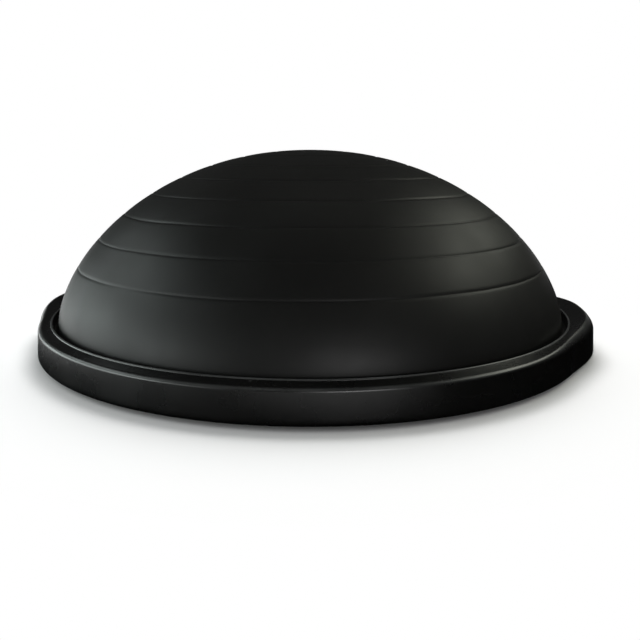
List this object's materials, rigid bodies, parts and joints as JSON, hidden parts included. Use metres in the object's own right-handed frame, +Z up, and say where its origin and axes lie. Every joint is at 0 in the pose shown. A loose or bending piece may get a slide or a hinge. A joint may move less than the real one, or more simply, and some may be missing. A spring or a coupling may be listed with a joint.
{
  "type": "half ball balance trainer",
  "caption": "Inflated black rubber half ball with grip rings, clamped by a glossy eared rim to a flat ribbed platform with finger pockets below.",
  "frame": {"origin": "on the floor under the middle of the trainer, dome up", "axes": "+Z up through the crown of the dome, X through the two handle ears, +Y towards the valve port"},
  "size_m": [0.6686, 0.643, 0.2322],
  "materials": {
    "dome_black": "satin",
    "sheet_grey": "matte",
    "rim_black": "gloss",
    "platform_black": "satin",
    "foot_black": "matte",
    "screw_steel": "satin",
    "plug_white": "satin"
  },
  "bodies": {
    "trainer": {"dome_skin": "dome_black", "chamber_floor": "sheet_grey", "rim_ring": "rim_black", "deck_plate": "platform_black", "base_pan": "platform_black", "foot_1": "foot_black", "foot_2": "foot_black", "foot_3": "foot_black", "foot_4": "foot_black", "foot_5": "foot_black", "foot_6": "foot_black", "foot_7": "foot_black", "foot_8": "foot_black", "rim_screw_1": "screw_steel", "rim_screw_2": "screw_steel", "rim_screw_3": "screw_steel", "rim_screw_4": "screw_steel", "rim_screw_5": "screw_steel", "rim_screw_6": "screw_steel", "rim_screw_7": "screw_steel", "rim_screw_8": "screw_steel", "rim_screw_9": "screw_steel", "rim_screw_10": "screw_steel", "rim_screw_11": "screw_steel", "rim_screw_12": "screw_steel", "deck_screw_1": "screw_steel", "deck_screw_2": "screw_steel", "deck_screw_3": "screw_steel", "deck_screw_4": "screw_steel"},
    "plug": {"valve_plug": "plug_white"}
  },
  "joints": [
    {"name": "plug_pull", "type": "slide", "parent": "trainer", "child": "plug", "axis": [0, 0.9253, 0.3792], "range_m": [0, 0.025]}
  ]
}
